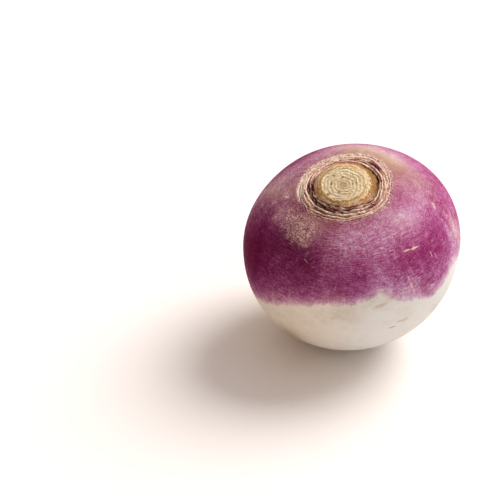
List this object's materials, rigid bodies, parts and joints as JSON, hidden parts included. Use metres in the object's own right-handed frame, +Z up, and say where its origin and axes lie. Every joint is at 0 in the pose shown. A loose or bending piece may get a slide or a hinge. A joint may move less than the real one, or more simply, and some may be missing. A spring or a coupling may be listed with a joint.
{
  "type": "turnip",
  "caption": "Purple-top turnip root, trimmed of leaves and tail: broad globe with corky leaf scars and a raised leaf stub on the crown, resting on its cut tail.",
  "frame": {"origin": "middle of the flat cut tail that the root rests on, on the surface it stands on", "axes": "+Z up, -Y towards the front, +X to the right; the crown leans about 13 degrees to the front and 3 degrees to the left"},
  "size_m": [0.0791, 0.0805, 0.0712],
  "materials": {
    "turnip_skin": "thin waxy skin, satin, purple above and cream below, with dry corky leaf scars on the crown"
  },
  "bodies": {
    "root": {"turnip": "turnip_skin"}
  },
  "joints": []
}
